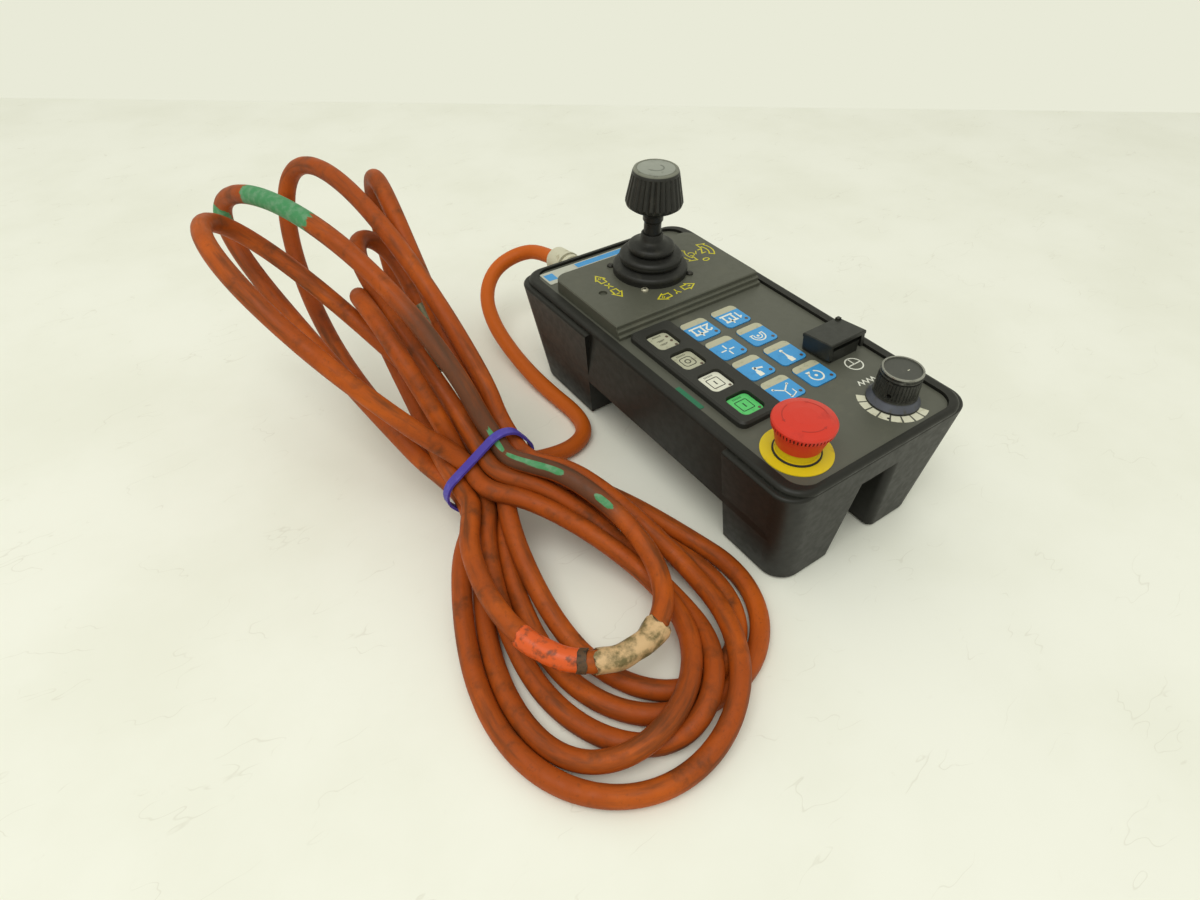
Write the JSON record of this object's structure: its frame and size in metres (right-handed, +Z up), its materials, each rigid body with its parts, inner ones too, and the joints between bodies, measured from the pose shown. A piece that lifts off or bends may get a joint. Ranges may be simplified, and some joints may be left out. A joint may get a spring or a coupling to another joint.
{
  "type": "machine hand controller",
  "caption": "Legged hand controller for a measuring machine: tilt-and-twist joystick, membrane keys, push buttons, rocker, dial, emergency stop and a tied cable.",
  "frame": {"origin": "on the floor under the middle of the housing", "axes": "+Z up, +Y towards the joystick and cable end, -X towards the column of push buttons"},
  "size_m": [0.3396, 0.4354, 0.1696],
  "materials": {
    "housing_black": "moulded, fine texture",
    "panel_alloy": "milled sheet",
    "film_grey": "printed film, matt",
    "label_grey": "matt label",
    "label_green": "matt label",
    "plate_black": "moulded, satin",
    "screw_steel": "plated",
    "boot_rubber": "matt",
    "mechanism_grey": "moulded",
    "gimbal_alloy": "turned",
    "shaft_black": "blackened",
    "knob_black": "moulded",
    "bezel_black": "satin gloss",
    "button_grey": "satin",
    "button_white": "satin",
    "button_green": "satin",
    "key_blue": "printed film",
    "board_green": "circuit board",
    "dome_steel": "snap dome",
    "rocker_black": "satin gloss",
    "stop_yellow": "satin",
    "stop_red": "gloss",
    "dial_black": "moulded",
    "dial_metal": "bright turned",
    "gland_cream": "moulded nylon",
    "seal_rubber": "matt",
    "cable_orange": "worn sheath",
    "band_purple": "plastic strap",
    "plug_olive": "matt"
  },
  "bodies": {
    "housing": {"housing_tub": "housing_black", "front_panel": "panel_alloy", "panel_overlay": "film_grey", "panel_screws": "screw_steel", "rear_label_strip": "label_grey", "side_label_strip": "label_green", "joystick_plate": "plate_black", "joystick_plate_screws": "screw_steel", "joystick_boot": "boot_rubber", "joystick_housing": "mechanism_grey", "joystick_pots": "mechanism_grey", "button_bezel": "bezel_black", "button_housings": "mechanism_grey", "keypad_board": "board_green", "key_domes": "dome_steel", "rocker_frame": "rocker_black", "rocker_pin": "screw_steel", "rocker_switch_body": "mechanism_grey", "estop_legend_ring": "stop_yellow", "estop_body": "stop_yellow", "estop_nut": "mechanism_grey", "estop_contact_block": "mechanism_grey", "override_pot": "mechanism_grey", "override_nut": "screw_steel", "gland_body": "gland_cream", "gland_nut": "gland_cream", "gland_seal": "seal_rubber", "gland_locknut": "gland_cream", "main_board": "board_green", "board_standoffs": "screw_steel", "board_screws": "screw_steel", "cable_lead": "cable_orange", "cable_hank": "cable_orange", "hank_band": "band_purple", "cable_connector": "plug_olive"},
    "gimbal": {"gimbal_ring": "gimbal_alloy"},
    "stick": {"stick_shaft": "shaft_black"},
    "knob": {"twist_knob": "knob_black"},
    "stop_stem": {"estop_stem": "mechanism_grey"},
    "stop_head": {"estop_head": "stop_red"},
    "rocker": {"rocker_paddle": "rocker_black"},
    "override": {"override_knob": "dial_black", "override_knob_ring": "dial_metal", "override_knob_cap": "dial_black", "override_grub_screw": "screw_steel", "override_shaft": "screw_steel"},
    "button_1": {"push_button_1": "button_grey"},
    "button_2": {"push_button_2": "button_grey"},
    "button_3": {"push_button_3": "button_white"},
    "button_4": {"push_button_4": "button_green"},
    "key_1": {"membrane_key_1": "key_blue"},
    "key_2": {"membrane_key_2": "key_blue"},
    "key_3": {"membrane_key_3": "key_blue"},
    "key_4": {"membrane_key_4": "key_blue"},
    "key_5": {"membrane_key_5": "key_blue"},
    "key_6": {"membrane_key_6": "key_blue"},
    "key_7": {"membrane_key_7": "key_blue"},
    "key_8": {"membrane_key_8": "key_blue"}
  },
  "joints": [
    {"name": "stick_tilt_x", "type": "hinge", "parent": "housing", "child": "gimbal", "pos_m": [0, 0.079, 0.066], "axis": [1, 0, 0], "range_deg": [-15, 15], "stiffness_Nm_per_rad": 0.6, "deforming": ["joystick_boot"]},
    {"name": "stick_tilt_y", "type": "hinge", "parent": "gimbal", "child": "stick", "pos_m": [0, 0.079, 0.066], "axis": [0, 1, 0], "range_deg": [-15, 15], "stiffness_Nm_per_rad": 0.6, "deforming": ["joystick_boot"]},
    {"name": "knob_twist", "type": "hinge", "parent": "stick", "child": "knob", "pos_m": [0, 0.079, 0.15], "axis": [0, 0, 1], "range_deg": [-30, 30], "stiffness_Nm_per_rad": 0.06},
    {"name": "estop_push", "type": "slide", "parent": "housing", "child": "stop_stem", "axis": [0, 0, -1], "range_m": [0, 0.0035]},
    {"name": "estop_twist", "type": "hinge", "parent": "stop_stem", "child": "stop_head", "pos_m": [-0.0429, -0.1076, 0.1], "axis": [0, 0, -1], "range_deg": [0, 40], "stiffness_Nm_per_rad": 0.05},
    {"name": "rocker_tilt", "type": "hinge", "parent": "housing", "child": "rocker", "pos_m": [0.0455, -0.0525, 0.0895], "axis": [1, 0, 0], "range_deg": [0, 14]},
    {"name": "override_turn", "type": "hinge", "parent": "housing", "child": "override", "pos_m": [0.0369, -0.1083, 0.1], "axis": [0, 0, 1], "range_deg": [-135, 135]},
    {"name": "button_1_push", "type": "slide", "parent": "housing", "child": "button_1", "axis": [0, 0, -1], "range_m": [0, 0.0025], "stiffness_N_per_m": 400},
    {"name": "button_2_push", "type": "slide", "parent": "housing", "child": "button_2", "axis": [0, 0, -1], "range_m": [0, 0.0025], "stiffness_N_per_m": 400},
    {"name": "button_3_push", "type": "slide", "parent": "housing", "child": "button_3", "axis": [0, 0, -1], "range_m": [0, 0.0025], "stiffness_N_per_m": 400},
    {"name": "button_4_push", "type": "slide", "parent": "housing", "child": "button_4", "axis": [0, 0, -1], "range_m": [0, 0.0025], "stiffness_N_per_m": 400},
    {"name": "key_1_press", "type": "slide", "parent": "housing", "child": "key_1", "axis": [0, 0, -1], "range_m": [0, 0.0005], "stiffness_N_per_m": 800},
    {"name": "key_2_press", "type": "slide", "parent": "housing", "child": "key_2", "axis": [0, 0, -1], "range_m": [0, 0.0005], "stiffness_N_per_m": 800},
    {"name": "key_3_press", "type": "slide", "parent": "housing", "child": "key_3", "axis": [0, 0, -1], "range_m": [0, 0.0005], "stiffness_N_per_m": 800},
    {"name": "key_4_press", "type": "slide", "parent": "housing", "child": "key_4", "axis": [0, 0, -1], "range_m": [0, 0.0005], "stiffness_N_per_m": 800},
    {"name": "key_5_press", "type": "slide", "parent": "housing", "child": "key_5", "axis": [0, 0, -1], "range_m": [0, 0.0005], "stiffness_N_per_m": 800},
    {"name": "key_6_press", "type": "slide", "parent": "housing", "child": "key_6", "axis": [0, 0, -1], "range_m": [0, 0.0005], "stiffness_N_per_m": 800},
    {"name": "key_7_press", "type": "slide", "parent": "housing", "child": "key_7", "axis": [0, 0, -1], "range_m": [0, 0.0005], "stiffness_N_per_m": 800},
    {"name": "key_8_press", "type": "slide", "parent": "housing", "child": "key_8", "axis": [0, 0, -1], "range_m": [0, 0.0005], "stiffness_N_per_m": 800}
  ]
}
